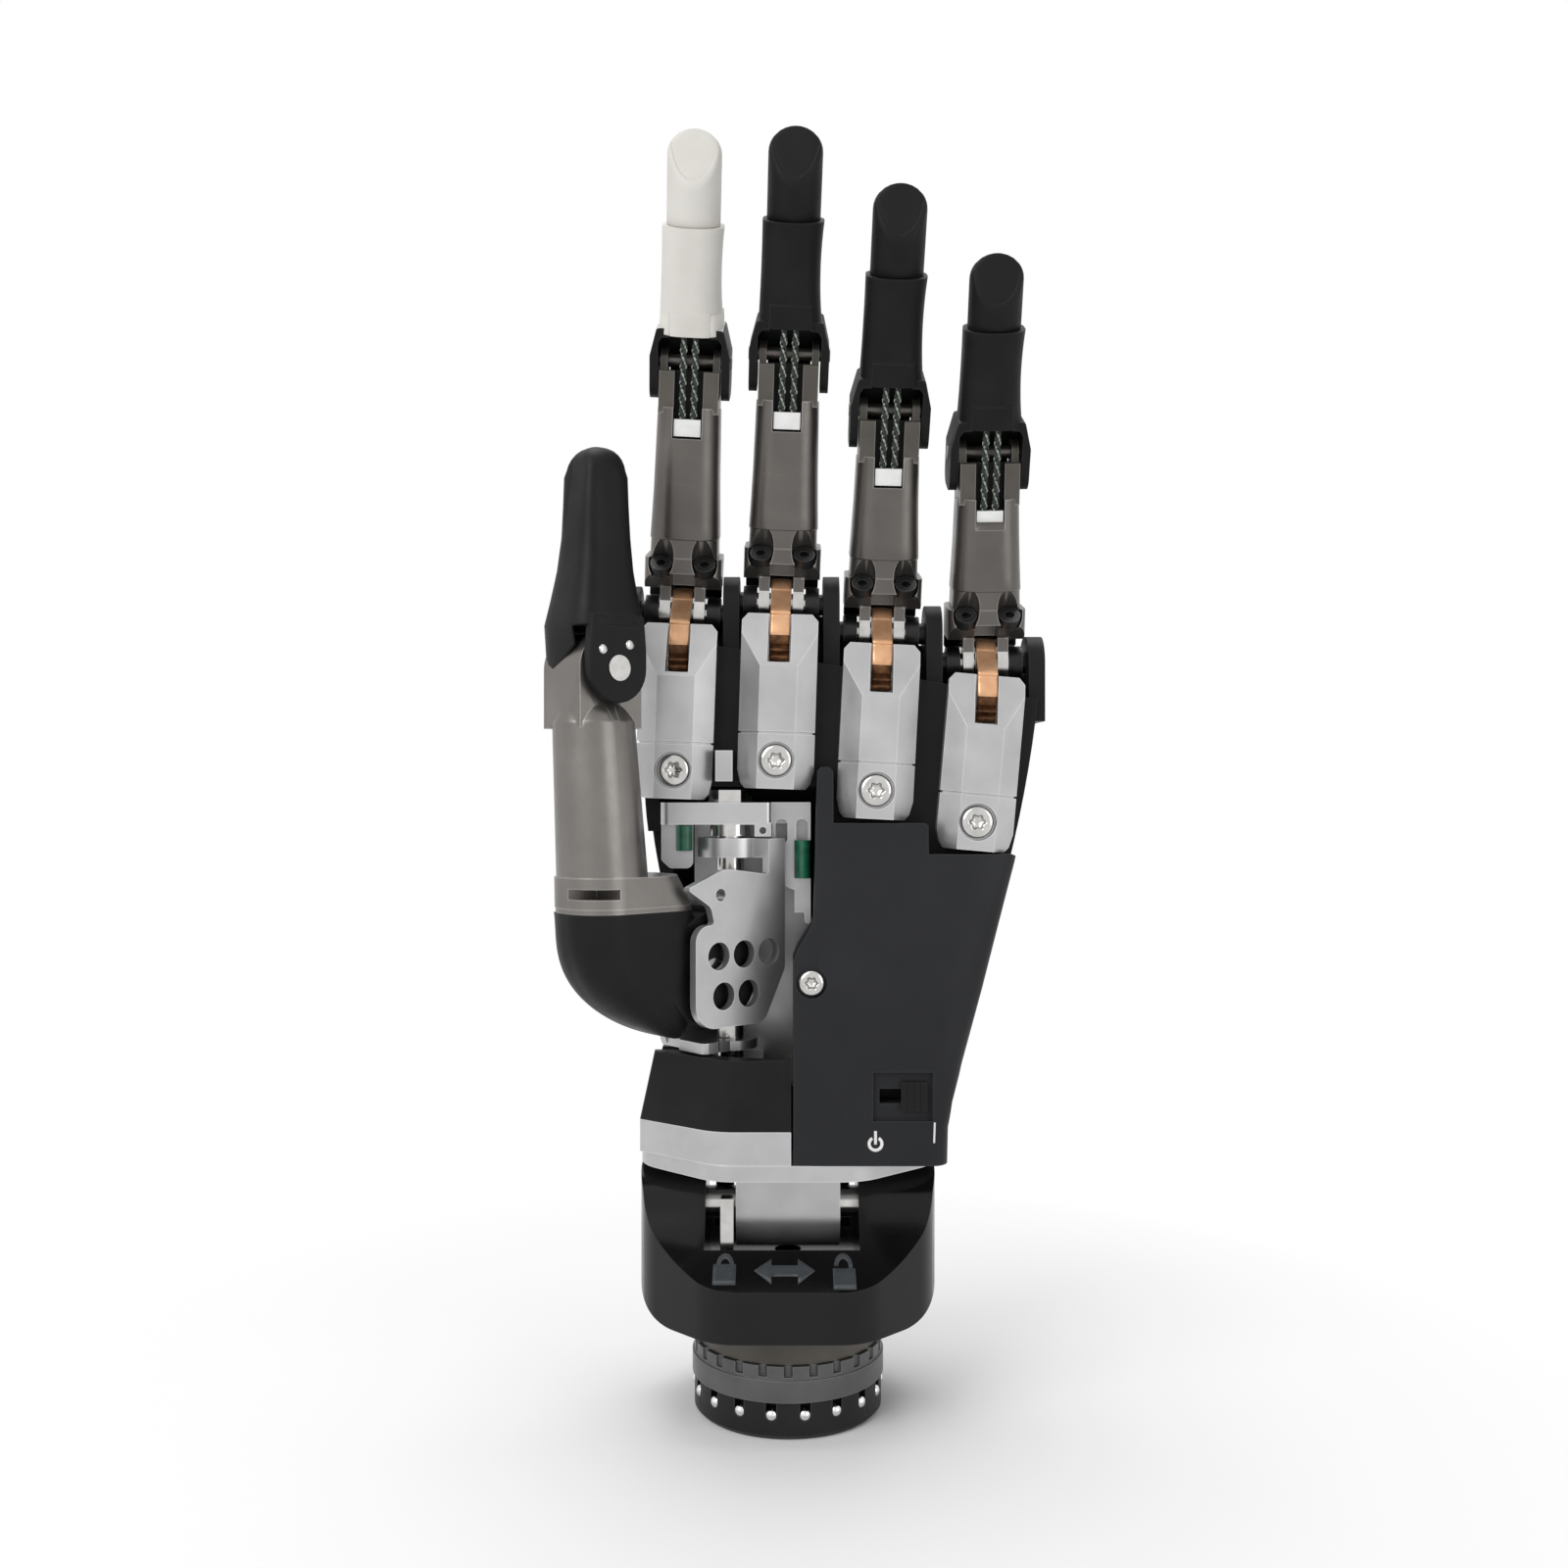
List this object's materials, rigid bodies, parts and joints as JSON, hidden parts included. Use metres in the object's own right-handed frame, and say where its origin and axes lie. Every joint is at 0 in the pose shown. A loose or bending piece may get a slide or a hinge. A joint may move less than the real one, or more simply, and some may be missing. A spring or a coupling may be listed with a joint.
{
  "type": "bionic prosthetic hand",
  "caption": "Motor-driven left hand prosthesis with hinged metal fingers, a turning thumb, a flexing wrist and a ball-locked wrist coupling.",
  "frame": {"origin": "centre of the coupling's end face", "axes": "+Z along the forearm towards the fingertips, -Y out of the palm, -X towards the thumb"},
  "size_m": [0.0899, 0.0572, 0.2302],
  "materials": {
    "black_plastic": "satin moulded",
    "gloss_black": "glossy",
    "charcoal_plastic": "matte",
    "warm_grey_metal": "satin anodised",
    "silver_metal": "satin",
    "white_rubber": "matte",
    "black_rubber": "matte",
    "steel": "polished",
    "black_steel": "black oxide",
    "ball_steel": "polished",
    "grey_ring": "satin",
    "black_cage": "satin",
    "neck_metal": "satin",
    "copper_strip": "bright",
    "cord": "braided",
    "board_green": "lacquered",
    "motor_metal": "turned"
  },
  "bodies": {
    "coupling": {"ball_cage": "black_cage", "coupling_balls": "ball_steel", "detent_ring": "grey_ring"},
    "wrist": {"wrist_housing": "gloss_black", "wrist_neck": "neck_metal", "wrist_pin": "steel"},
    "wrist_lock": {"wrist_lock_slider": "steel"},
    "palm": {"wrist_ring": "silver_metal", "wrist_band": "silver_metal", "wrist_cover": "black_plastic", "palm_cover": "charcoal_plastic", "back_shell": "black_plastic", "thumb_frame": "silver_metal", "control_board": "board_green", "cover_screws": "steel", "mcp_axles": "steel", "flex_strips": "copper_strip", "thumb_axle": "steel", "index_metacarpal_cover": "silver_metal", "middle_metacarpal_cover": "silver_metal", "ring_metacarpal_cover": "silver_metal", "little_metacarpal_cover": "silver_metal"},
    "switch": {"power_switch": "black_plastic"},
    "thumb_base": {"thumb_bracket": "silver_metal"},
    "thumb": {"thumb_elbow": "black_plastic", "thumb_tube": "warm_grey_metal", "thumb_pins": "steel"},
    "thumb_tip": {"thumb_distal_shell": "black_plastic"},
    "index_proximal": {"index_knuckle_block": "warm_grey_metal", "index_flange_screws": "black_steel", "index_phalanx_tube": "warm_grey_metal", "index_gearmotor": "motor_metal", "index_tendons": "cord"},
    "index_distal": {"index_distal_shell": "white_rubber", "index_fingertip": "white_rubber", "index_pip_pin": "black_steel"},
    "middle_proximal": {"middle_knuckle_block": "warm_grey_metal", "middle_flange_screws": "black_steel", "middle_phalanx_tube": "warm_grey_metal", "middle_gearmotor": "motor_metal", "middle_tendons": "cord"},
    "middle_distal": {"middle_distal_shell": "black_rubber", "middle_fingertip": "black_rubber", "middle_pip_pin": "black_steel"},
    "ring_proximal": {"ring_knuckle_block": "warm_grey_metal", "ring_flange_screws": "black_steel", "ring_phalanx_tube": "warm_grey_metal", "ring_gearmotor": "motor_metal", "ring_tendons": "cord"},
    "ring_distal": {"ring_distal_shell": "black_rubber", "ring_fingertip": "black_rubber", "ring_pip_pin": "black_steel"},
    "little_proximal": {"little_knuckle_block": "warm_grey_metal", "little_flange_screws": "black_steel", "little_phalanx_tube": "warm_grey_metal", "little_gearmotor": "motor_metal", "little_tendons": "cord"},
    "little_distal": {"little_distal_shell": "black_rubber", "little_fingertip": "black_rubber", "little_pip_pin": "black_steel"}
  },
  "joints": [
    {"name": "wrist_rotation", "type": "hinge", "parent": "coupling", "child": "wrist", "pos_m": [0, 0, 0.01865], "axis": [0, 0, 1], "continuous": true},
    {"name": "wrist_flexion", "type": "hinge", "parent": "wrist", "child": "palm", "pos_m": [0, 0, 0.03795], "axis": [1, 0, 0], "range_deg": [-25, 25]},
    {"name": "wrist_lock_slide", "type": "slide", "parent": "wrist", "child": "wrist_lock", "axis": [-1, 0, 0], "range_m": [0, 0.0025]},
    {"name": "power_switch_slide", "type": "slide", "parent": "palm", "child": "switch", "axis": [-1, 0, 0], "range_m": [0, 0.003]},
    {"name": "index_flexion", "type": "hinge", "parent": "palm", "child": "index_proximal", "pos_m": [-0.0198, 0, 0.1492], "axis": [0.9987, 0, -0.0506], "range_deg": [-10, 52]},
    {"name": "index_tip_flexion", "type": "hinge", "parent": "index_proximal", "child": "index_distal", "pos_m": [-0.01755, -0.01193, 0.19367], "axis": [0.9987, 0, -0.0506], "range_deg": [-14, 69], "deforming": ["index_tendons"]},
    {"name": "middle_flexion", "type": "hinge", "parent": "palm", "child": "middle_proximal", "pos_m": [-0.0013, 0, 0.151], "axis": [0.9994, 0, -0.0349], "range_deg": [-10, 52]},
    {"name": "middle_tip_flexion", "type": "hinge", "parent": "middle_proximal", "child": "middle_distal", "pos_m": [0.00024, -0.0118, 0.19502], "axis": [0.9994, 0, -0.0349], "range_deg": [-14, 69], "deforming": ["middle_tendons"]},
    {"name": "ring_flexion", "type": "hinge", "parent": "palm", "child": "ring_proximal", "pos_m": [0.0175, 0, 0.1455], "axis": [0.9997, 0, -0.0244], "range_deg": [-10, 52]},
    {"name": "ring_tip_flexion", "type": "hinge", "parent": "ring_proximal", "child": "ring_distal", "pos_m": [0.01847, -0.01061, 0.18509], "axis": [0.9997, 0, -0.0244], "range_deg": [-14, 69], "deforming": ["ring_tendons"]},
    {"name": "little_flexion", "type": "hinge", "parent": "palm", "child": "little_proximal", "pos_m": [0.0369, 0, 0.1397], "axis": [0.9999, 0, 0.0122], "range_deg": [-10, 52]},
    {"name": "little_tip_flexion", "type": "hinge", "parent": "little_proximal", "child": "little_distal", "pos_m": [0.03644, -0.01015, 0.17756], "axis": [0.9999, 0, 0.0122], "range_deg": [-14, 69], "deforming": ["little_tendons"]},
    {"name": "thumb_rotation", "type": "hinge", "parent": "palm", "child": "thumb_base", "pos_m": [-0.0107, -0.006, 0.09], "axis": [0, 0, -1], "range_deg": [-18, 38]},
    {"name": "thumb_extension", "type": "hinge", "parent": "thumb_base", "child": "thumb", "pos_m": [-0.01813, -0.01269, 0.084], "axis": [0.6691, -0.7431, 0], "range_deg": [-4, 24]},
    {"name": "thumb_tip_extension", "type": "hinge", "parent": "thumb", "child": "thumb_tip", "pos_m": [-0.03314, -0.02621, 0.1365], "axis": [0.6691, -0.7431, 0], "range_deg": [-3, 16]}
  ],
  "couplings": [
    {"joint": "index_tip_flexion", "follows": "index_flexion", "ratio": 1.3},
    {"joint": "middle_tip_flexion", "follows": "middle_flexion", "ratio": 1.3},
    {"joint": "ring_tip_flexion", "follows": "ring_flexion", "ratio": 1.3},
    {"joint": "little_tip_flexion", "follows": "little_flexion", "ratio": 1.3},
    {"joint": "thumb_tip_extension", "follows": "thumb_extension", "ratio": 0.5}
  ]
}
